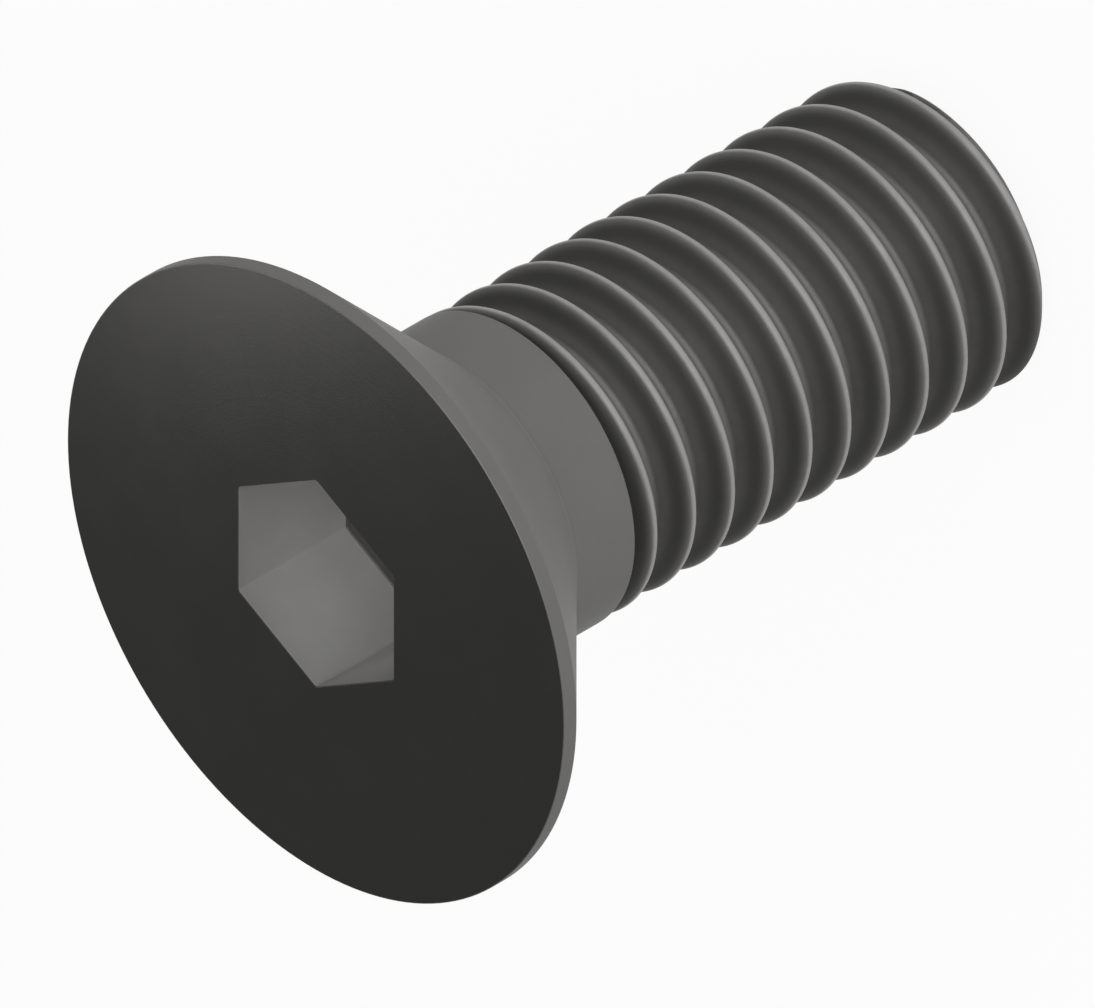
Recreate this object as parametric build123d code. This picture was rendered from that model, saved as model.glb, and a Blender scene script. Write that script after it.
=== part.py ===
from build123d import *
import math
import os

# Countersunk screw with a hexagon socket, all in millimetres. It is one piece: a headed blank
# with a punched socket, a plain neck and a rolled right-hand thread. Each piece of it is drawn
# with the head's face at height 0 and the tip above. The finished screw is turned over onto the
# flat end of its tip, with the tip's face at 0 and the Z axis as the screw's own.

# Head
head_diameter = 16.0
head_angle = 90.0  # from one side of the countersunk cone to the other
rim_height = 0.4  # straight land round the widest edge
neck_fillet = 0.4

# Socket
socket_flats = 5.0
socket_depth = 3.5
socket_point_diameter = 4.0  # shallow cone that the punch leaves in the floor
socket_point_angle = 120.0

# Shank
overall_length = 20.0
shank_diameter = 8.0
neck_length = 1.875  # from the end of the head's cone to the thread
tip_chamfer = 0.6  # at 45 degrees

# Thread
pitch = 1.25
thread_angle = 60.0
thread_depth = 0.767
crest_width = 0.156
crest_allowance = 0.014  # how far the crest lies under the neck's surface
runout_angle = 65.0  # slope of the cone on which the grooves rise to the neck
crest_bearing = 107.6  # where the crest meets the neck, counter-clockwise from +X seen from above

# Worked out from the sizes above
head_radius = head_diameter / 2
shank_radius = shank_diameter / 2
crest_radius = shank_radius - crest_allowance
root_radius = crest_radius - thread_depth
tip_radius = shank_radius - tip_chamfer
head_height = rim_height + (head_radius - shank_radius) / math.tan(math.radians(head_angle / 2))
neck_end = head_height + neck_length
runout_run = (shank_radius - root_radius) / math.tan(math.radians(runout_angle))
flank_lean = math.tan(math.radians(thread_angle / 2))
stock_end = overall_length + pitch  # the blank is cut to length after threading


def turned_blank():
    """The head, the neck and the core of the thread, one pitch longer than the screw."""
    cone_end = (shank_radius, head_height)
    outline = Polyline(
        (0, 0),
        (head_radius, 0),
        (head_radius, rim_height),
        cone_end,
        (shank_radius, neck_end),
        (root_radius, neck_end + runout_run),
        (root_radius, stock_end),
        (0, stock_end),
        close=True,
    )
    profile = make_face(outline)
    corner = profile.vertices().sort_by_distance(cone_end)[0]
    return revolve(Plane.XZ * fillet(corner, neck_fillet), Axis.Z)


def socket():
    """The space inside the socket, with a corner on each side of the axis along X."""
    point_radius = socket_point_diameter / 2
    point_depth = point_radius / math.tan(math.radians(socket_point_angle / 2))
    hexagon = RegularPolygon(socket_flats / 2, 6, major_radius=False)
    point = Cone(point_radius, 0, point_depth, align=(Align.CENTER, Align.CENTER, Align.MIN))
    return extrude(hexagon, socket_depth) + Pos(0, 0, socket_depth) * point


def thread_ridge():
    """The thread's ridge, a trapezoid between four helices, with its inner side in the core."""
    sunk_radius = root_radius - crest_width
    crest_half = crest_width / 2
    sunk_half = crest_half + (crest_radius - sunk_radius) * flank_lean
    corners = [
        (crest_radius, -crest_half),
        (crest_radius, crest_half),
        (sunk_radius, sunk_half),
        (sunk_radius, -sunk_half),
    ]
    first = neck_end - pitch / 2
    height = stock_end - first
    edges = [
        Pos(0, 0, first + shift) * Edge.make_helix(pitch, height, radius)
        for radius, shift in corners
    ]
    sides = [
        Face.make_surface_from_curves(edge, following)
        for edge, following in zip(edges, edges[1:] + edges[:1])
    ]
    ends = [
        Face(Wire.make_polygon([edge.position_at(share) for edge in edges]))
        for share in (0, 1)
    ]
    first_bearing = -crest_bearing - 360 * (neck_end - first) / pitch
    return Rot(0, 0, first_bearing) * Solid(Shell(sides + ends))


def tip_waste():
    """What the tip's chamfer and flat end take off the core and the thread."""
    clear = pitch
    outline = Polyline(
        (0, overall_length),
        (tip_radius, overall_length),
        (shank_radius + clear, overall_length - tip_chamfer - clear),
        (shank_radius + clear, stock_end + clear),
        (0, stock_end + clear),
        close=True,
    )
    return revolve(Plane.XZ * make_face(outline), Axis.Z)


waste = tip_waste()
blank = turned_blank() - waste - socket()
ridge = thread_ridge() - waste
screw = blank + ridge
standing = Pos(0, 0, overall_length) * Rot(180, 0, 0)
os.makedirs("parts", exist_ok=True)
export_step(standing * screw, "parts/countersunk_screw.step")
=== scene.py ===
"""Looks of a countersunk screw with a hexagon socket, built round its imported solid.

The screw stands on its tip with the socket facing up, and the Z axis is its own. Sizes are in
millimetres and heights are above the tip's face. MM turns them into the frame's metres.
"""

import logging
import math
from dataclasses import dataclass
from enum import Enum

import bmesh
import bpy
from mathutils import Matrix, Vector


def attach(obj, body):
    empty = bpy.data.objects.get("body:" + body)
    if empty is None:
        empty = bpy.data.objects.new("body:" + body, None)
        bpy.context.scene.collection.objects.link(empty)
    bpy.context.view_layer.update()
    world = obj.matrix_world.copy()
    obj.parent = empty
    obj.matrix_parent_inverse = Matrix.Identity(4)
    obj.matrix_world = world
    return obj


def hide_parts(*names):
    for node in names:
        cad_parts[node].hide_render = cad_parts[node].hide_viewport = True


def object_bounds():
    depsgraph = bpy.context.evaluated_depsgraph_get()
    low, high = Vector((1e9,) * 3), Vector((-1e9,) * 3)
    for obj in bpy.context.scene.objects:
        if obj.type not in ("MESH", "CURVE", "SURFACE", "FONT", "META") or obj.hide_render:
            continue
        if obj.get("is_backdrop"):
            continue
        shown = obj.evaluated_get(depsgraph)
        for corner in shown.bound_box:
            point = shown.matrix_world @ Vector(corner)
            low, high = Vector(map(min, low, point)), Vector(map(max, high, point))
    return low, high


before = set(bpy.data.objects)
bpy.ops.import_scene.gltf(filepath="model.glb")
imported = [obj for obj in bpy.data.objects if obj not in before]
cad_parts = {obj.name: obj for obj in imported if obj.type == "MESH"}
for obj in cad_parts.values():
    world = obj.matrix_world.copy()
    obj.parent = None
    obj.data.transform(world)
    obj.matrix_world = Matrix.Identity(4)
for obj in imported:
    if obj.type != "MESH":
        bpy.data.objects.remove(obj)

MM = 0.001
NODE = "countersunk_screw"
SIDES = 6  # of the socket
COLUMNS = 28 * SIDES  # round the axis
TINY = 0.0004  # mm; less than the shortest step of any section
WEAR_AND_PAINTED_LIGHT = "wear_and_painted_light"  # mesh attribute: how far the tone is lightened, 0 to 1, by real wear on edges and by painted light and painted highlights on the thread and in the socket
NOISE_ROUGHNESS = 0.55  # share of each octave that the next finer one keeps

log = logging.getLogger("countersunk_screw")


class Zone(Enum):
    """The regions of the screw that have a finish of their own, by material index."""

    SOCKET = 0
    FACE = 1  # with the edge of the socket's mouth
    CONE = 2
    PLAIN = 3  # the rim's land, the neck, the tip and the socket's floor
    THREAD = 4


class Lay(Enum):
    """The way in which a tool's marks run over a surface."""

    ROUND = "round the axis"
    LENGTHWISE = "along the axis"


# Node helpers and shared effects


class NodeGraph:
    """Adds and joins nodes in one node tree."""

    def __init__(self, tree: bpy.types.NodeTree) -> None:
        """Takes the tree that the nodes go into."""
        self.tree = tree

    def add(self, kind: str, **settings: object) -> bpy.types.Node:
        """Adds a node.

        Args:
            kind: the node's class name.
            settings: attributes of the node and the values they get.

        Returns:
            The new node.
        """
        node = self.tree.nodes.new(kind)
        for name, value in settings.items():
            setattr(node, name, value)
        return node

    def feed(self, socket: bpy.types.NodeSocket, source: object) -> None:
        """Links source to a socket if it is a socket itself, or else sets it as the value.

        Args:
            socket: an input of a node.
            source: an output of another node, or a plain value.
        """
        if isinstance(source, bpy.types.NodeSocket):
            self.tree.links.new(source, socket)
        else:
            socket.default_value = source

    def math(self, operation: str, *sources: object) -> bpy.types.NodeSocket:
        """Adds a Math node.

        Args:
            operation: the node's operation.
            sources: its one to three inputs, as sockets or numbers.

        Returns:
            The result's socket.
        """
        node = self.add("ShaderNodeMath", operation=operation)
        for socket, source in zip(node.inputs, sources):
            self.feed(socket, source)
        return node.outputs[0]

    def mix(self, kind: str, factor: object, one: object, other: object) -> bpy.types.NodeSocket:
        """Adds a Mix node.

        Args:
            kind: Color or Vector, as in the identifiers of the node's sockets.
            factor: share of the second source, as a socket or number.
            one: the first source, as a socket or value.
            other: the second source.

        Returns:
            The result's socket.
        """
        node = self.add("ShaderNodeMix", data_type={"Color": "RGBA", "Vector": "VECTOR"}[kind])
        inputs = {socket.identifier: socket for socket in node.inputs}
        self.feed(inputs["Factor_Float"], factor)
        self.feed(inputs[f"A_{kind}"], one)
        self.feed(inputs[f"B_{kind}"], other)
        return next(socket for socket in node.outputs if socket.identifier == f"Result_{kind}")

    def group(self, tree: bpy.types.NodeTree, **sources: object) -> bpy.types.Node:
        """Adds a node group.

        Args:
            tree: the group's own tree.
            sources: its inputs by name, with an underscore for each space.

        Returns:
            The group's node.
        """
        node = self.add("ShaderNodeGroup", node_tree=tree)
        for name, source in sources.items():
            self.feed(node.inputs[name.replace("_", " ")], source)
        return node


def new_group(name: str, inputs: dict[str, str], outputs: dict[str, str]) -> bpy.types.NodeTree:
    """Starts a shader node group with its sockets.

    Args:
        name: the group's name.
        inputs: socket class name for each input's name.
        outputs: socket class name for each output's name.

    Returns:
        The group, which holds only its input and output nodes.
    """
    tree = bpy.data.node_groups.new(name, "ShaderNodeTree")
    for socket_name, kind in inputs.items():
        tree.interface.new_socket(socket_name, in_out="INPUT", socket_type=kind)
    for socket_name, kind in outputs.items():
        tree.interface.new_socket(socket_name, in_out="OUTPUT", socket_type=kind)
    tree.nodes.new("NodeGroupInput")
    tree.nodes.new("NodeGroupOutput")
    return tree


class EffectGroups:
    """The surface effects that all the screw's finishes share, each built once."""

    def __init__(self) -> None:
        """Builds the groups."""
        self.mottle = self._mottle()
        self.grain = self._grain()
        self.marks = self._marks()
        self.lightening_mask = self._lightening_mask()

    @staticmethod
    def _noise(
        graph: NodeGraph, place: bpy.types.NodeSocket, size: object, detail: float
    ) -> bpy.types.NodeSocket:
        """Adds noise whose cells have a size in mm.

        Args:
            graph: the graph that gets the nodes.
            place: position in mm.
            size: size of a cell in mm, as a socket or number.
            detail: octaves of finer noise.

        Returns:
            The noise, from about 0 to 1 round a middle of 0.5.
        """
        noise = graph.add("ShaderNodeTexNoise", noise_dimensions="3D")
        graph.feed(noise.inputs["Vector"], place)
        graph.feed(noise.inputs["Scale"], graph.math("DIVIDE", 1.0, size))
        noise.inputs["Detail"].default_value = detail
        noise.inputs["Roughness"].default_value = NOISE_ROUGHNESS
        return noise.outputs[0]

    def _mottle(self) -> bpy.types.NodeTree:
        """Uneven depth of the black film: a tone round 1 that multiplies the colour.

        Returns:
            The group.
        """
        tree = new_group(
            "film mottle",
            {"Place": "NodeSocketVector", "Cloud Size": "NodeSocketFloat", "Amount": "NodeSocketFloat"},
            {"Tone": "NodeSocketFloat", "Cloud": "NodeSocketFloat"},
        )
        graph = NodeGraph(tree)
        given, result = tree.nodes[0].outputs, tree.nodes[1].inputs
        cloud = self._noise(graph, given["Place"], given["Cloud Size"], 4.0)
        swing = graph.math("SUBTRACT", cloud, 0.5)
        tone = graph.math("MULTIPLY_ADD", swing, graph.math("MULTIPLY", given["Amount"], 2.0), 1.0)
        graph.feed(result["Tone"], tone)
        graph.feed(result["Cloud"], swing)
        return tree

    def _grain(self) -> bpy.types.NodeTree:
        """Crystals of the oxide film: a height round 0, in grain heights.

        Returns:
            The group.
        """
        tree = new_group(
            "oxide grain",
            {"Place": "NodeSocketVector", "Grain Size": "NodeSocketFloat"},
            {"Height": "NodeSocketFloat"},
        )
        graph = NodeGraph(tree)
        given, result = tree.nodes[0].outputs, tree.nodes[1].inputs
        fine = self._noise(graph, given["Place"], given["Grain Size"], 2.0)
        graph.feed(result["Height"], graph.math("SUBTRACT", fine, 0.5))
        return tree

    def _marks(self) -> bpy.types.NodeTree:
        """Fine parallel lines left by a tool: a height round 0.

        Along is 1 for lines along the axis and 0 for lines round it.

        Returns:
            The group.
        """
        tree = new_group(
            "tool marks",
            {
                "Place": "NodeSocketVector",
                "Line Spacing": "NodeSocketFloat",
                "Line Length": "NodeSocketFloat",
                "Along": "NodeSocketFloat",
            },
            {"Height": "NodeSocketFloat"},
        )
        graph = NodeGraph(tree)
        given, result = tree.nodes[0].outputs, tree.nodes[1].inputs
        parts = graph.add("ShaderNodeSeparateXYZ")
        graph.feed(parts.inputs[0], given["Place"])
        across_x, across_y, height = parts.outputs
        square = graph.math("MULTIPLY_ADD", across_y, across_y, graph.math("MULTIPLY", across_x, across_x))
        radius = graph.math("SQRT", square)
        bearing = graph.math("ARCTAN2", across_y, across_x)
        length, spacing = given["Line Length"], given["Line Spacing"]
        around = graph.add("ShaderNodeCombineXYZ")
        graph.feed(around.inputs[0], graph.math("DIVIDE", radius, spacing))
        graph.feed(around.inputs[1], graph.math("DIVIDE", height, spacing))
        graph.feed(around.inputs[2], graph.math("DIVIDE", graph.math("MULTIPLY", bearing, radius), length))
        along = graph.add("ShaderNodeCombineXYZ")
        graph.feed(along.inputs[0], graph.math("DIVIDE", across_x, spacing))
        graph.feed(along.inputs[1], graph.math("DIVIDE", across_y, spacing))
        graph.feed(along.inputs[2], graph.math("DIVIDE", height, length))
        lay = graph.mix("Vector", given["Along"], around.outputs[0], along.outputs[0])
        lines = self._noise(graph, lay, 1.0, 3.0)
        graph.feed(result["Height"], graph.math("SUBTRACT", lines, 0.5))
        return tree

    def _lightening_mask(self) -> bpy.types.NodeTree:
        """Where the tone is lightened, by real wear on edges and by painted light and painted highlights on
        the thread and in the socket: a mask from 0 to 1, broken up by noise.

        Returns:
            The group.
        """
        tree = new_group(
            "wear and painted light",
            {
                "Place": "NodeSocketVector",
                "Rubbed": "NodeSocketFloat",
                "Patch Size": "NodeSocketFloat",
                "Patchiness": "NodeSocketFloat",
            },
            {"Mask": "NodeSocketFloat"},
        )
        graph = NodeGraph(tree)
        given, result = tree.nodes[0].outputs, tree.nodes[1].inputs
        patches = graph.math("SUBTRACT", self._noise(graph, given["Place"], given["Patch Size"], 3.0), 0.5)
        uneven = graph.math("MULTIPLY_ADD", patches, given["Patchiness"], 1.0)
        mask = graph.math("MULTIPLY", given["Rubbed"], uneven)
        graph.feed(result["Mask"], graph.math("MINIMUM", graph.math("MAXIMUM", mask, 0.0), 1.0))
        return tree


@dataclass(frozen=True)
class BlackOxide:
    """Black oxide on steel. The head face's and the thread's copies are darker as painted shade, and the
    cone's and the socket's lighter as painted light.
    """

    name: str
    tone: tuple[float, float, float] = (0.16, 0.158, 0.152)
    lightened_tone: tuple[float, float, float] = (0.34, 0.335, 0.325)
    edge_tone: float = 0.5  # of the reflection at a glancing angle
    film_gloss: float = 0.5  # of the film over the metal; 0 is dead matt
    metallic: float = 0.85
    roughness: float = 0.42
    lightened_roughness: float = 0.32
    roughness_spread: float = 0.10
    mottle_size: float = 1.6  # mm
    mottle_amount: float = 0.10
    grain_size: float = 0.035  # mm
    grain_height: float = 0.0016  # mm
    mark_lay: Lay = Lay.ROUND
    mark_spacing: float = 0.06  # mm
    mark_length: float = 6.0  # mm
    mark_height: float = 0.0010  # mm
    lightening_strength: float = 0.6
    patch_size: float = 0.35  # mm
    patchiness: float = 0.4

    def material(self, effects: EffectGroups) -> bpy.types.Material:
        """Builds the finish's material.

        Args:
            effects: the shared groups.

        Returns:
            A material that works from places on the object and the attribute of wear and painted light.
        """
        material = bpy.data.materials.new(self.name)
        material.use_nodes = True
        graph = NodeGraph(material.node_tree)
        shader = material.node_tree.nodes["Principled BSDF"]
        shader.inputs["Metallic"].default_value = self.metallic
        shader.inputs["Specular Tint"].default_value = (self.edge_tone, self.edge_tone, self.edge_tone, 1)
        shader.inputs["Specular IOR Level"].default_value = self.film_gloss

        position = graph.add("ShaderNodeTexCoord").outputs["Object"]
        scaled = graph.add("ShaderNodeVectorMath", operation="SCALE")
        graph.feed(scaled.inputs[0], position)
        scaled.inputs["Scale"].default_value = 1 / MM
        place = scaled.outputs[0]

        mottle = graph.group(
            effects.mottle, Place=place, Cloud_Size=self.mottle_size, Amount=self.mottle_amount
        )
        wear_and_painted_light = graph.add("ShaderNodeAttribute", attribute_name=WEAR_AND_PAINTED_LIGHT)
        lightening_mask = graph.group(
            effects.lightening_mask,
            Place=place,
            Rubbed=wear_and_painted_light.outputs["Fac"],
            Patch_Size=self.patch_size,
            Patchiness=self.patchiness,
        )
        mask = graph.math("MULTIPLY", lightening_mask.outputs["Mask"], self.lightening_strength)

        # Lightened tone where the mask is: real wear on edges, and painted light and painted highlights on
        # the thread and in the socket.
        tone_with_wear_and_light = graph.mix("Color", mask, (*self.tone, 1), (*self.lightened_tone, 1))
        toned = graph.add("ShaderNodeVectorMath", operation="SCALE")
        graph.feed(toned.inputs[0], tone_with_wear_and_light)
        graph.feed(toned.inputs["Scale"], mottle.outputs["Tone"])
        graph.feed(shader.inputs["Base Color"], toned.outputs[0])

        rough = graph.math("MULTIPLY_ADD", mottle.outputs["Cloud"], self.roughness_spread, self.roughness)
        smoothing = graph.math("MULTIPLY", mask, self.lightened_roughness - self.roughness)
        graph.feed(shader.inputs["Roughness"], graph.math("ADD", rough, smoothing))

        grain = graph.group(effects.grain, Place=place, Grain_Size=self.grain_size)
        marks = graph.group(
            effects.marks,
            Place=place,
            Line_Spacing=self.mark_spacing,
            Line_Length=self.mark_length,
            Along=float(self.mark_lay is Lay.LENGTHWISE),
        )
        relief = graph.math("MULTIPLY", marks.outputs["Height"], self.mark_height * MM)
        relief = graph.math("MULTIPLY_ADD", grain.outputs["Height"], self.grain_height * MM, relief)
        bump = graph.add("ShaderNodeBump")
        bump.inputs["Distance"].default_value = 1.0
        bump.inputs["Strength"].default_value = 1.0
        graph.feed(bump.inputs["Height"], relief)
        graph.feed(shader.inputs["Normal"], bump.outputs[0])
        return material


# Sections and the surface that they sweep


@dataclass(frozen=True)
class Corner:
    """A corner of a section: where it is, how it is rounded and how far wear lightens it."""

    across: float
    height: float
    rounding: float = 0.0
    wear_and_light: float = 0.0
    steps: int = 6


@dataclass(frozen=True)
class SectionPoint:
    """A point of a finished section."""

    across: float
    height: float
    wear_and_light: float = 0.0

    def toward(self, other: "SectionPoint", share: float) -> "SectionPoint":
        """Finds a point on the way to another one.

        Args:
            other: the point at the end of the way.
            share: share of the way.

        Returns:
            The point between them.
        """
        return SectionPoint(
            self.across + (other.across - self.across) * share,
            self.height + (other.height - self.height) * share,
            self.wear_and_light + (other.wear_and_light - self.wear_and_light) * share,
        )


def rounded_section(corners: list[Corner], margin: float) -> list[SectionPoint]:
    """Rounds the corners of a section.

    Args:
        corners: the section's corners in order, of which the first and last stay sharp.
        margin: distance from an arc's ends to a point that keeps the straight beside it flat.

    Returns:
        The points of the section, with an arc at each corner that has a rounding.
    """
    points = []
    for index, corner in enumerate(corners):
        here = Vector((corner.across, corner.height))
        if not corner.rounding:
            points.append(SectionPoint(corner.across, corner.height, corner.wear_and_light))
            continue
        before, after = corners[index - 1], corners[index + 1]
        back = (Vector((before.across, before.height)) - here).normalized()
        ahead = (Vector((after.across, after.height)) - here).normalized()
        half_opening = back.angle(ahead) / 2
        setback = corner.rounding / math.tan(half_opening)
        centre = here + (back + ahead).normalized() * corner.rounding / math.sin(half_opening)
        start, end = here + back * setback - centre, here + ahead * setback - centre
        points.append(SectionPoint(*(centre + start + back * margin)))
        for step in range(corner.steps + 1):
            at = centre + start.slerp(end, step / corner.steps) * corner.rounding
            points.append(SectionPoint(at.x, at.y, corner.wear_and_light))
        points.append(SectionPoint(*(centre + end + ahead * margin)))
    return points


Ring = list[bmesh.types.BMVert]
Row = tuple[list[Vector], float]  # a place for each column, and how far real wear and painted light lighten the row


class Skin:
    """The screw's whole surface, joined ring by ring into one closed mesh."""

    def __init__(self) -> None:
        """Starts with no surface."""
        self.mesh = bmesh.new()
        self.wear_and_painted_light = self.mesh.verts.layers.float.new(WEAR_AND_PAINTED_LIGHT)

    def vertex(self, place: Vector, wear_and_light: float) -> bmesh.types.BMVert:
        """Adds a vertex.

        Args:
            place: where it is, in mm.
            wear_and_light: how far real wear and painted light lighten the surface there.

        Returns:
            The new vertex.
        """
        vertex = self.mesh.verts.new(place * MM)
        vertex[self.wear_and_painted_light] = wear_and_light
        return vertex

    def ring(self, row: Row) -> Ring:
        """Adds a row's vertices and returns them."""
        places, wear_and_light = row
        return [self.vertex(place, wear_and_light) for place in places]

    def face(self, corners: Ring, zone: Zone) -> None:
        """Adds a face, unless its corners fall together to less than a triangle.

        Args:
            corners: its vertices, of which neighbours may be the same.
            zone: the region that it belongs to.
        """
        distinct = [v for v, before in zip(corners, corners[-1:] + corners[:-1]) if v is not before]
        if len(distinct) > 2:
            face = self.mesh.faces.new(distinct)
            face.smooth = True
            face.material_index = zone.value

    def run(self, ring: Ring, rows: list[Row], zone: Zone) -> Ring:
        """Carries the surface on over more rows, on the way from the socket to the tip.

        Args:
            ring: the last ring so far.
            rows: the rows that follow.
            zone: the region that the faces belong to.

        Returns:
            The last ring.
        """
        for row in rows:
            following = self.ring(row)
            for column in range(COLUMNS):
                beside = (column + 1) % COLUMNS
                self.face([ring[column], following[column], following[beside], ring[beside]], zone)
            ring = following
        return ring

    def cap(self, ring: Ring, centre: Vector, zone: Zone, facing_up: bool) -> None:
        """Closes the surface with a fan of triangles.

        Args:
            ring: the last ring.
            centre: the middle of the fan.
            zone: the region that the faces belong to.
            facing_up: whether the outside of the fan is above.
        """
        middle = self.vertex(centre, 0.0)
        for column in range(COLUMNS):
            pair = [ring[column], ring[(column + 1) % COLUMNS]]
            self.face([middle] + (pair if facing_up else pair[::-1]), zone)

    def piece(self, name: str) -> bpy.types.Object:
        """Makes the object.

        Args:
            name: the object's name.

        Returns:
            An object in the scene, with an empty material slot for each zone.
        """
        data = bpy.data.meshes.new(name)
        self.mesh.to_mesh(data)
        self.mesh.free()
        for _ in Zone:
            data.materials.append(None)
        piece = bpy.data.objects.new(name, data)
        bpy.context.scene.collection.objects.link(piece)
        return piece


def outward(column: int) -> Vector:
    """Direction from the axis to a column of a round row."""
    bearing = 2 * math.pi * column / COLUMNS
    return Vector((math.cos(bearing), math.sin(bearing), 0))


def circle(radius: float, height: float) -> list[Vector]:
    """Places of the columns on a circle round the axis."""
    lift = Vector((0, 0, height))
    return [outward(column) * radius + lift for column in range(COLUMNS)]


def round_rows(section: list[SectionPoint]) -> list[Row]:
    """Rows of a surface of revolution, one for each point of its section."""
    return [(circle(point.across, point.height), point.wear_and_light) for point in section]


def halfway(one: list[Vector], other: list[Vector], share: float) -> list[Vector]:
    """Places at a share of the way from one row to another."""
    return [a.lerp(b, share) for a, b in zip(one, other)]


def places_of(ring: Ring) -> list[Vector]:
    """Places of a ring's vertices, in mm."""
    return [vertex.co / MM for vertex in ring]


# The screw


@dataclass
class Socket:
    """The hexagon socket that a punch leaves in the head."""

    finish: BlackOxide
    flats: float = 5.0
    depth: float = 3.5
    point_diameter: float = 4.0
    point_angle: float = 120.0
    corner_round: float = 0.12
    floor_round: float = 0.04
    edge_round: float = 0.02  # round the mouth and the floor's point
    mouth_rub: float = 0.1
    corner_columns: int = 3  # columns from the middle of a rounded corner to its end
    centre_share: float = SIDES / COLUMNS  # of the floor's cone, which a fan of triangles closes

    def wall_painted_light(self, above_floor: float) -> float:
        """How much painted light the walls get at a height above the floor: more toward the floor, where the
        socket is in shade.
        """
        return 1 - above_floor / self.depth if above_floor >= self.floor_round else 0.0

    def on_corner(self, corner: int, share: float, offset: float) -> Vector:
        """Finds a place on a rounded corner of the socket's outline.

        Args:
            corner: number of the corner, counter-clockwise from the one on +X.
            share: share of the way from its middle to its end, from -1 to 1.
            offset: how far the outline lies outside the socket's walls.

        Returns:
            The place, at height 0.
        """
        half_side = math.pi / SIDES
        middle = 2 * half_side * corner
        facing = middle + share * half_side
        distance = (self.flats / 2 - self.corner_round) / math.cos(half_side)
        centre = Vector((math.cos(middle), math.sin(middle), 0)) * distance
        return centre + Vector((math.cos(facing), math.sin(facing), 0)) * (self.corner_round + offset)

    def hexagon(self, offset: float, height: float) -> list[Vector]:
        """Spreads the columns over the socket's outline.

        Args:
            offset: how far the outline lies outside the socket's walls.
            height: its height.

        Returns:
            A place for each column.
        """
        per_side = COLUMNS // SIDES
        straight_steps = per_side - 2 * self.corner_columns
        lift = Vector((0, 0, height))
        places = []
        for column in range(COLUMNS):
            corner, step = divmod(column + self.corner_columns, per_side)
            step -= self.corner_columns
            if step <= self.corner_columns:
                places.append(self.on_corner(corner, step / self.corner_columns, offset) + lift)
            else:
                start, end = self.on_corner(corner, 1, offset), self.on_corner(corner + 1, -1, offset)
                places.append(start.lerp(end, (step - self.corner_columns) / straight_steps) + lift)
        return places

    def build(self, skin: Skin, face_height: float) -> Ring:
        """Builds the socket from the middle of its floor up to its mouth.

        Args:
            skin: the surface that it is part of.
            face_height: height of the head's face.

        Returns:
            The ring that lies in the head's face, just outside the mouth.
        """
        floor = face_height - self.depth
        margin = self.edge_round
        point_radius = self.point_diameter / 2
        point_slope = math.tan(math.radians(90 - self.point_angle / 2))
        first_radius = point_radius * self.centre_share
        point = rounded_section(
            [
                Corner(first_radius, floor - (point_radius - first_radius) * point_slope),
                Corner(point_radius, floor, self.edge_round, wear_and_light=self.mouth_rub),
                Corner(point_radius + 2 * margin, floor),
            ],
            margin,
        )
        walls = rounded_section(
            [
                Corner(-self.floor_round - 2 * margin, floor),
                Corner(0, floor, self.floor_round),
                Corner(0, face_height, self.edge_round, wear_and_light=self.mouth_rub),
                Corner(self.edge_round + 2 * margin, face_height),
            ],
            margin,
        )
        rows = round_rows(point)
        # Painted light: the walls are lightened more toward the floor, where the socket is in shade.
        hexagons = [
            (self.hexagon(p.across, p.height), p.wear_and_light or self.wall_painted_light(p.height - floor)) for p in walls
        ]
        on_floor = sum(p.height < floor + self.floor_round for p in walls)
        below_mouth = sum(p.height < face_height - self.edge_round / 2 for p in walls)
        between = [(halfway(rows[-1][0], hexagons[0][0], 0.5), 0.0)]
        ring = skin.ring(rows[0])
        skin.cap(ring, Vector((0, 0, floor - point_radius * point_slope)), Zone.PLAIN, True)
        ring = skin.run(ring, rows[1:] + between + hexagons[:on_floor], Zone.PLAIN)
        ring = skin.run(ring, hexagons[on_floor:below_mouth], Zone.SOCKET)
        return skin.run(ring, hexagons[below_mouth:], Zone.FACE)

    def dress(self, piece: bpy.types.Object, effects: EffectGroups) -> None:
        """Gives the socket its finish."""
        piece.data.materials[Zone.SOCKET.value] = self.finish.material(effects)


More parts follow.
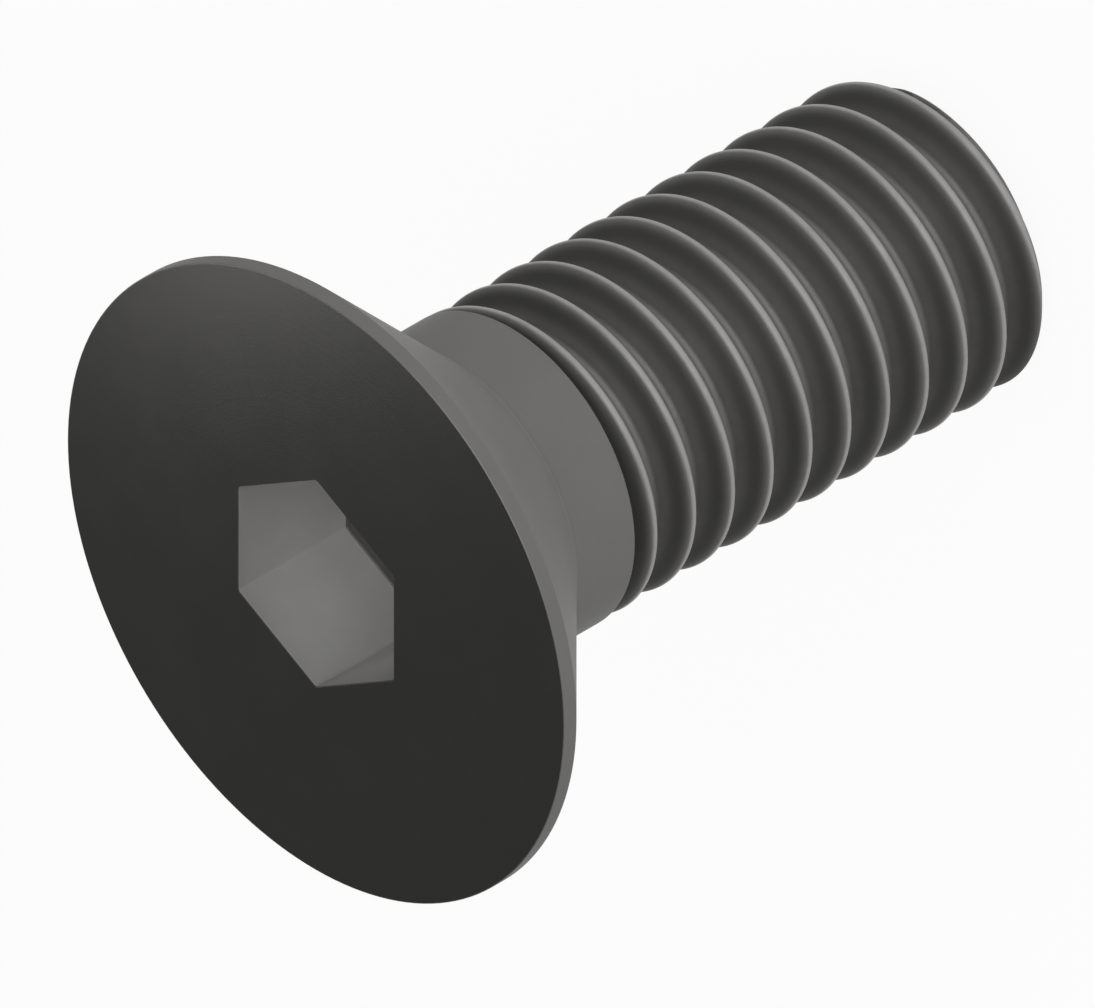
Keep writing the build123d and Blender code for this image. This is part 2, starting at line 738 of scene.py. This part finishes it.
@dataclass
class Head:
    """The countersunk head: face, land round the rim, cone and the fillet at its foot."""

    face_finish: BlackOxide
    cone_finish: BlackOxide
    diameter: float = 16.0
    cone_angle: float = 90.0
    rim_height: float = 0.4
    foot_fillet: float = 0.4
    edge_round: float = 0.02
    edge_rub: float = 0.1
    face_rings: tuple[float, ...] = (0.3, 0.65)  # between the socket's mouth and half the radius

    def height(self, shank_radius: float) -> float:
        """Height of the head from the end of its cone to its face."""
        half_angle = math.radians(self.cone_angle / 2)
        return self.rim_height + (self.diameter / 2 - shank_radius) / math.tan(half_angle)

    def build(self, skin: Skin, mouth: Ring, face_height: float, shank_radius: float) -> Ring:
        """Builds the head from the socket's mouth to the end of the cone's fillet.

        Args:
            skin: the surface that it is part of.
            mouth: the ring round the socket's mouth.
            face_height: height of the head's face.
            shank_radius: radius of the neck.

        Returns:
            The ring where the neck starts.
        """
        radius = self.diameter / 2
        foot = face_height - self.height(shank_radius)
        section = rounded_section(
            [
                Corner(radius / 2, face_height),
                Corner(radius, face_height, self.edge_round, wear_and_light=self.edge_rub),
                Corner(radius, face_height - self.rim_height, self.edge_round, wear_and_light=self.edge_rub),
                Corner(shank_radius, foot, self.foot_fillet, steps=12),
                Corner(shank_radius, foot - self.foot_fillet),
            ],
            self.edge_round,
        )
        rows = round_rows(section[:-1])
        on_face = sum(point.height > face_height - TINY for point in section)
        on_land = sum(point.height > face_height - self.rim_height for point in section)
        on_cone = sum(point.height > foot for point in section)
        inner = [(halfway(places_of(mouth), rows[0][0], share), 0.0) for share in self.face_rings]
        ring = skin.run(mouth, inner + rows[:on_face], Zone.FACE)
        ring = skin.run(ring, rows[on_face:on_land], Zone.PLAIN)
        ring = skin.run(ring, rows[on_land:on_cone], Zone.CONE)
        return skin.run(ring, rows[on_cone:], Zone.PLAIN)

    def dress(self, piece: bpy.types.Object, effects: EffectGroups) -> None:
        """Gives the face and the cone their finishes."""
        piece.data.materials[Zone.FACE.value] = self.face_finish.material(effects)
        piece.data.materials[Zone.CONE.value] = self.cone_finish.material(effects)


@dataclass
class Thread:
    """A rolled right-hand metric thread."""

    finish: BlackOxide
    pitch: float = 1.25
    angle: float = 60.0
    depth: float = 0.767
    crest_width: float = 0.156
    crest_round: float = 0.128
    crest_wear_and_highlight: float = 0.03  # depth below the crest that is lightened most, by real wear and a painted highlight
    flank_wear_and_highlight: float = 0.20  # depth that is lightened half as much
    root_painted_light: float = 0.50  # painted light on the flanks beside the root, where the groove is in shade
    painted_light_depth: float = 0.70  # where that painted light is strongest
    painted_light_above: float = 0.40  # how far it reaches toward the crest
    painted_light_below: float = 0.18  # and toward the root
    crest_bearing: float = 107.6  # where the crest meets the neck, in degrees from +X
    crest_steps: int = 6
    root_steps: int = 10
    longest_step: float = 0.05  # along the axis, from one row to the next

    def wear_and_light(self, depth: float) -> float:
        """Says how far the tone is lightened: real wear and a painted highlight at the crest, and painted
        light beside the root.

        Args:
            depth: depth below the crest.

        Returns:
            The lightening, from 0 up.
        """
        # The crest is lightened by real wear and by a painted highlight.
        crest = (faded(depth / self.crest_wear_and_highlight) + faded(depth / self.flank_wear_and_highlight)) / 2
        # Painted light on the flanks beside the root, where the groove is in shade.
        above = faded((self.painted_light_depth - depth) / self.painted_light_above)
        below = faded((depth - self.painted_light_depth) / self.painted_light_below)
        return crest + self.root_painted_light * min(above, below)

    def section(self, crest_radius: float) -> list[SectionPoint]:
        """Draws one pitch of the thread's section, from the middle of a crest to the next.

        Args:
            crest_radius: radius over the crests.

        Returns:
            Points with the distance along the axis as across and the radius as height. The
            last one is the next pitch's first.
        """
        half_crest = self.crest_width / 2
        half_angle = math.radians(self.angle / 2)
        sharp_depth = (self.pitch / 2 - half_crest) / math.tan(half_angle)
        root_round = (sharp_depth - self.depth) / (1 / math.sin(half_angle) - 1)
        coarse = rounded_section(
            [
                Corner(0, crest_radius),
                Corner(half_crest, crest_radius, self.crest_round, steps=self.crest_steps),
                Corner(self.pitch / 2, crest_radius - sharp_depth, root_round, steps=self.root_steps),
                Corner(self.pitch - half_crest, crest_radius, self.crest_round, steps=self.crest_steps),
                Corner(self.pitch, crest_radius),
            ],
            self.crest_round / 50,
        )
        fine = []
        for here, following in zip(coarse, coarse[1:]):
            pieces = max(1, math.ceil((following.across - here.across) / self.longest_step))
            fine += [here.toward(following, step / pieces) for step in range(pieces)]
        fine.append(coarse[-1])
        return [SectionPoint(p.across, p.height, self.wear_and_light(crest_radius - p.height)) for p in fine]


def faded(share: float) -> float:
    """Falls smoothly from 1 at share 0 to 0 at share 1, and stays there beyond both."""
    left = min(max(1 - share, 0.0), 1.0)
    return left * left * (3 - 2 * left)


def on_line(points: list[SectionPoint], height: float) -> SectionPoint:
    """Finds a place on a line of points.

    Args:
        points: the points, each higher than the one before.
        height: height of the place.

    Returns:
        The point of the line that is at that height.
    """
    above = next(n for n, point in enumerate(points) if point.height > height)
    lower, upper = points[above - 1], points[above]
    return lower.toward(upper, (height - lower.height) / (upper.height - lower.height))


def gather(points: list[SectionPoint], heights: list[float]) -> None:
    """Slides the nearest points along their line, one to each height.

    Args:
        points: the points, each higher than the one before.
        heights: the heights from the lowest up, of which the middle one has the first choice.
    """
    places = [on_line(points, height) for height in heights]
    numbers = [min(range(len(points)), key=lambda n: abs(points[n].height - height)) for height in heights]
    middle = len(heights) // 2
    for n in range(middle, 0, -1):
        numbers[n - 1] = min(numbers[n - 1], numbers[n] - 1)
    for n in range(middle, len(heights) - 1):
        numbers[n + 1] = max(numbers[n + 1], numbers[n] + 1)
    for number, place in zip(numbers, places):
        points[number] = place


def blended_maximum(one: float, other: float, blend: float) -> float:
    """The larger of two lengths, with the corner where they cross rounded over blend."""
    near = max(blend - abs(one - other), 0.0) / blend
    return max(one, other) + near * near * blend / 4


def blended_minimum(one: float, other: float, blend: float) -> float:
    """The smaller of two lengths, with the corner where they cross rounded over blend."""
    return -blended_maximum(-one, -other, blend)


@dataclass
class Shank:
    """The shank: a plain neck, the thread and the chamfered tip."""

    finish: BlackOxide
    thread: Thread
    diameter: float = 8.0
    neck_length: float = 1.875
    crest_allowance: float = 0.014
    runout_angle: float = 65.0
    tip_chamfer: float = 0.6
    tip_round: float = 0.05
    tip_arc: tuple[tuple[float, float], ...] = ((0.35, 0.25), (1.0, 0.0))  # shares inward and up
    tip_rings: tuple[float, ...] = (0.05, 0.5, 1.0)  # from the tip's edge to its middle circle
    tip_rub: float = 0.6
    chamfer_rub: float = 0.35
    neck_rub: float = 0.2
    blend: float = 0.04  # width of the rounding where the run-out cuts the thread
    edge_blend: float = 0.01  # and where the chamfer does
    edge_margin: float = 0.02  # from such an edge to the points that keep the surface beside it flat
    shortest_step: float = 0.006

    @property
    def radius(self) -> float:
        """Radius of the neck."""
        return self.diameter / 2

    def chamfer_radius(self, height: float) -> float:
        """Radius of the chamfer's cone at a height."""
        return self.radius - self.tip_chamfer + height

    def trimmed(self, radius: float, height: float, neck_end: float) -> float:
        """Trims the endless thread to the run-out and the tip's chamfer.

        Args:
            radius: radius of the endless thread.
            height: height of the point.
            neck_end: height of the neck's lower end.

        Returns:
            The radius that is left.
        """
        runout = self.radius - (neck_end - height) * math.tan(math.radians(self.runout_angle))
        raised = min(blended_maximum(radius, runout, self.blend), self.radius)
        return blended_minimum(raised, self.chamfer_radius(height), self.edge_blend)

    def cuts(self, points: list[SectionPoint]) -> list[float]:
        """Lists the heights at which the tip's chamfer cuts the thread's surface.

        Args:
            points: points of the endless thread, each higher than the one before.

        Returns:
            The height of each cut.
        """
        heights = []
        for lower, upper in zip(points, points[1:]):
            below, above = (p.across - self.chamfer_radius(p.height) for p in (lower, upper))
            if below * above < 0:
                heights.append(lower.toward(upper, below / (below - above)).height)
        return heights

    def column_points(self, column: int, section: list[SectionPoint], neck_end: float) -> list[SectionPoint]:
        """Lists the points of the thread's surface down one column.

        Args:
            column: number of the column.
            section: the thread's section.
            neck_end: height of the neck's lower end.

        Returns:
            Points with their radius as across, from a turn below the tip to a turn above the
            neck's end. Each turn holds as many as the section has steps.
        """
        pitch = self.thread.pitch
        first = neck_end + pitch * (column / COLUMNS - self.thread.crest_bearing / 360)
        points = []
        for turn in range(-math.ceil(neck_end / pitch) - 1, 2):
            for point in section[:-1]:
                height = first + pitch * turn + point.across
                points.append(SectionPoint(point.height, height, point.wear_and_light))
        for cut in self.cuts(points):
            gather(points, [cut - self.edge_margin, cut, cut + self.edge_margin])
        gather(points, [neck_end - self.blend])
        trimmed = []
        for point in points:
            across = self.trimmed(point.across, point.height, neck_end)
            on_chamfer = self.chamfer_radius(point.height) < point.across + TINY
            wear_and_light = self.chamfer_rub if on_chamfer else point.wear_and_light
            trimmed.append(SectionPoint(across, point.height, wear_and_light))
        return trimmed

    def build_thread(self, skin: Skin, neck_ring: Ring, neck_end: float) -> Ring:
        """Builds the threaded part, with rows that climb along the thread.

        Args:
            skin: the surface that it is part of.
            neck_ring: the ring at the neck's lower end.
            neck_end: its height.

        Returns:
            The ring at the tip, above the rounding of its edge.
        """
        section = self.thread.section(self.radius - self.crest_allowance)
        tip_ring: Ring = []
        columns: list[Ring] = []
        for column in range(COLUMNS):
            points = self.column_points(column, section, neck_end)
            edge = on_line(points, self.tip_round)
            lift = Vector((0, 0, self.tip_round))
            tip_ring.append(skin.vertex(outward(column) * edge.across + lift, edge.wear_and_light))
            stack = []
            for point in points:
                if point.height <= self.tip_round + self.shortest_step:
                    stack.append(tip_ring[-1])
                elif point.height > neck_end - self.blend + self.shortest_step:
                    stack.append(neck_ring[column])
                else:
                    place = outward(column) * point.across + Vector((0, 0, point.height))
                    stack.append(skin.vertex(place, point.wear_and_light))
            columns.append(stack)
        turn = len(section) - 1
        columns.append(columns[0][turn:] + [neck_ring[0]] * turn)
        for here, beside in zip(columns, columns[1:]):
            for n in range(len(here) - 1):
                skin.face([here[n], beside[n], beside[n + 1], here[n + 1]], Zone.THREAD)
        return tip_ring

    def build(self, skin: Skin, ring: Ring, foot: float) -> None:
        """Builds the neck, the thread and the tip.

        Args:
            skin: the surface that it is part of.
            ring: the ring where the head ends.
            foot: height of the foot of the head's cone.
        """
        neck_end = foot - self.neck_length
        upper, lower = (circle(self.radius, height) for height in (neck_end + self.blend, neck_end))
        neck_ring = skin.run(ring, [(upper, 0.0), (lower, self.neck_rub)], Zone.PLAIN)
        tip_ring = self.build_thread(skin, neck_ring, neck_end)
        rounding = []
        for inward, up in self.tip_arc:
            inset, lift = self.tip_round * inward, Vector((0, 0, self.tip_round * up))
            row = [place.xy * (1 - inset / place.xy.length) for place in places_of(tip_ring)]
            rounding.append(([place.to_3d() + lift for place in row], self.tip_rub))
        middle = circle(self.radius / 3, 0.0)
        flat = [(halfway(rounding[-1][0], middle, share), 0.0) for share in self.tip_rings]
        ring = skin.run(tip_ring, rounding + flat, Zone.PLAIN)
        skin.cap(ring, Vector((0, 0, 0)), Zone.PLAIN, False)

    def dress(self, piece: bpy.types.Object, effects: EffectGroups) -> None:
        """Gives the neck, the tip and the thread their finishes."""
        piece.data.materials[Zone.PLAIN.value] = self.finish.material(effects)
        piece.data.materials[Zone.THREAD.value] = self.thread.finish.material(effects)


@dataclass
class CountersunkScrew:
    """The whole screw, one piece of steel."""

    socket: Socket
    head: Head
    shank: Shank
    length: float

    def build(self) -> bpy.types.Object:
        """Builds the screw's surface as one object.

        Returns:
            The object, without its finish.
        """
        skin = Skin()
        mouth = self.socket.build(skin, self.length)
        ring = self.head.build(skin, mouth, self.length, self.shank.radius)
        self.shank.build(skin, ring, self.length - self.head.height(self.shank.radius))
        return skin.piece("screw")

    def dress(self, piece: bpy.types.Object, effects: EffectGroups) -> None:
        """Gives each region its finish."""
        for part in (self.socket, self.head, self.shank):
            part.dress(piece, effects)


# The studio and the finishes


@dataclass(frozen=True)
class SoftBox:
    """A square soft lamp that faces the screw."""

    name: str
    azimuth: float  # degrees from +X, counter-clockwise seen from above
    elevation: float
    distance: float  # mm
    side: float  # mm
    radiance: float

    def hang(self, target: Vector) -> bpy.types.Object:
        """Hangs the lamp.

        Args:
            target: the point that it faces, in metres.

        Returns:
            The lamp's object.
        """
        data = bpy.data.lights.new(self.name, "AREA")
        data.shape = "SQUARE"
        data.size = self.side * MM
        data.energy = self.radiance * math.pi * data.size**2
        lamp = bpy.data.objects.new(self.name, data)
        across, up = math.radians(self.azimuth), math.radians(self.elevation)
        away = Vector((math.cos(across) * math.cos(up), math.sin(across) * math.cos(up), math.sin(up)))
        lamp.location = target + away * self.distance * MM
        lamp.rotation_mode = "QUATERNION"
        lamp.rotation_quaternion = away.to_track_quat("Z", "Y")
        lamp.visible_camera = False
        bpy.context.scene.collection.objects.link(lamp)
        return lamp


@dataclass
class Studio:
    """A pale floor, soft light and a camera at the photograph's angle."""

    lamps: list[SoftBox]
    floor_side: float = 1200.0
    floor_squares: int = 8  # along each side
    floor_gap: float = 0.01  # mm under the tip's face, so that the two don't fall together
    floor_tone: tuple[float, float, float] = (0.86, 0.86, 0.855)
    floor_glow: float = 0.93  # share of plain white in what camera and metal see of the floor
    sky_tone: tuple[float, float, float] = (0.45, 0.45, 0.45)
    view_width: float = 24.943  # mm across the picture
    view_distance: float = 200.0
    view_depth: tuple[float, float] = (1.0, 10000.0)  # nearest and farthest that it sees
    face_right: float = 5.278  # the picture's middle from the middle of the head's face
    face_up: float = 1.811

    def lay_floor(self) -> None:
        """Lays the floor."""
        grid = bmesh.new()
        squares = self.floor_squares
        bmesh.ops.create_grid(grid, x_segments=squares, y_segments=squares, size=self.floor_side / 2 * MM)
        data = bpy.data.meshes.new("floor")
        grid.to_mesh(data)
        grid.free()
        data.materials.append(self._floor_paint())
        floor = bpy.data.objects.new("floor", data)
        floor.location.z = -self.floor_gap * MM
        bpy.context.scene.collection.objects.link(floor)
        floor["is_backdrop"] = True

    def _floor_paint(self) -> bpy.types.Material:
        """Mixes matt pale paint that keeps shadows but looks nearly white to camera and metal.

        Returns:
            The floor's material.
        """
        material = bpy.data.materials.new("pale floor")
        material.use_nodes = True
        graph = NodeGraph(material.node_tree)
        material.node_tree.nodes.remove(material.node_tree.nodes["Principled BSDF"])
        paint = graph.add("ShaderNodeBsdfDiffuse")
        paint.inputs["Color"].default_value = (*self.floor_tone, 1)
        white = graph.add("ShaderNodeEmission")
        white.inputs["Strength"].default_value = 1.0
        path = graph.add("ShaderNodeLightPath").outputs
        seen = graph.math("MAXIMUM", path["Is Camera Ray"], path["Is Glossy Ray"])
        seen = graph.math("MAXIMUM", seen, path["Is Transmission Ray"])
        mix = graph.add("ShaderNodeMixShader")
        graph.feed(mix.inputs[0], graph.math("MULTIPLY", seen, self.floor_glow))
        graph.feed(mix.inputs[1], paint.outputs[0])
        graph.feed(mix.inputs[2], white.outputs[0])
        output = material.node_tree.nodes["Material Output"]
        graph.feed(output.inputs["Surface"], mix.outputs[0])
        return material

    def set_sky(self) -> None:
        """Fills the room with even, dim light."""
        world = bpy.data.worlds.new("studio")
        world.use_nodes = True
        background = world.node_tree.nodes["Background"]
        background.inputs["Color"].default_value = (*self.sky_tone, 1)
        background.inputs["Strength"].default_value = 1.0
        bpy.context.scene.world = world

    def place_camera(self, face_centre: Vector) -> None:
        """Sets up the camera: a true view from above the head, turned about its line of sight.

        Args:
            face_centre: middle of the head's face, in metres.
        """
        back = Vector((1, -1, 1)).normalized()
        right = Vector((0, -1, -1)).normalized()
        up = back.cross(right)
        data = bpy.data.cameras.new("camera")
        data.type = "ORTHO"
        data.ortho_scale = self.view_width * MM
        data.clip_start, data.clip_end = (distance * MM for distance in self.view_depth)
        camera = bpy.data.objects.new("camera", data)
        middle = face_centre + (right * self.face_right + up * self.face_up) * MM
        turn = Matrix((right, up, back)).transposed()
        camera.matrix_world = Matrix.Translation(middle + back * self.view_distance * MM) @ turn.to_4x4()
        bpy.context.scene.collection.objects.link(camera)
        bpy.context.scene.camera = camera

    def build(self, face_centre: Vector) -> None:
        """Sets up floor, light and camera.

        Args:
            face_centre: middle of the head's face, in metres.
        """
        self.lay_floor()
        self.set_sky()
        for lamp in self.lamps:
            lamp.hang(face_centre / 2)
        self.place_camera(face_centre)


# Painted shade: the face is a darker copy of the black oxide, standing in for the shade that the face is in.
SHADED_FACE_FINISH = BlackOxide(
    "head face, painted shade",
    tone=(0.038, 0.0373, 0.0360),
    metallic=0.7,
    roughness=0.30,
    roughness_spread=0.06,
    mark_spacing=0.09,
    mark_length=9.0,
)
# Painted light: the cone is a lighter copy of the black oxide, standing in for light.
LIT_CONE_FINISH = BlackOxide(
    "head cone, painted light",
    tone=(0.214, 0.2109, 0.2034),
    film_gloss=0.03,
    metallic=0.08,
    roughness=0.5,
    mark_spacing=0.07,
    mark_length=8.0,
)
# Painted light: the socket's walls are a lighter copy of the black oxide, lighter still toward the floor,
# where the recess is in shade.
LIT_SOCKET_FINISH = BlackOxide(
    "socket, painted light",
    tone=(0.285, 0.282, 0.276),
    lightened_tone=(0.66, 0.654, 0.640),
    metallic=0.2,
    roughness=0.5,
    lightened_roughness=0.5,
    mark_lay=Lay.LENGTHWISE,
    mark_spacing=0.08,
    mark_length=2.5,
    lightening_strength=1.0,
    patchiness=0.1,
)
PLAIN_FINISH = BlackOxide("plain steel", metallic=0.7, mark_spacing=0.05, mark_length=7.0)
# Painted shade and light: the flanks are a darker copy of the black oxide, and the lightened tone paints
# light beside the root and a highlight on the crest, with some real wear.
SHADED_THREAD_FINISH = BlackOxide(
    "rolled thread, painted shade and light",
    tone=(0.080, 0.0788, 0.0755),
    lightened_tone=(0.40, 0.395, 0.385),
    edge_tone=1.0,
    metallic=0.8,
    roughness=0.58,
    lightened_roughness=0.54,
    mark_spacing=0.04,
    mark_length=5.0,
    lightening_strength=0.8,
)

LAMPS = [
    SoftBox("key", azimuth=-45, elevation=35, distance=260, side=300, radiance=1.7),
    SoftBox("rim", azimuth=106.6, elevation=56.9, distance=34.6, side=8, radiance=5.5),
]


def main() -> None:
    """Builds the screw and the studio."""
    logging.basicConfig(level=logging.INFO, format="%(name)s: %(message)s")
    cad_low, cad_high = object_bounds()
    effects = EffectGroups()
    screw = CountersunkScrew(
        socket=Socket(LIT_SOCKET_FINISH),
        head=Head(SHADED_FACE_FINISH, LIT_CONE_FINISH),
        shank=Shank(PLAIN_FINISH, Thread(SHADED_THREAD_FINISH)),
        length=cad_high.z / MM,
    )
    piece = screw.build()
    screw.dress(piece, effects)
    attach(piece, "root")
    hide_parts(NODE)
    log.info("screw: %d vertices, %d faces", len(piece.data.vertices), len(piece.data.polygons))

    Studio(LAMPS).build(Vector((0, 0, cad_high.z)))
    bpy.context.scene.view_settings.view_transform = "Standard"


if __name__ == "__main__":
    main()
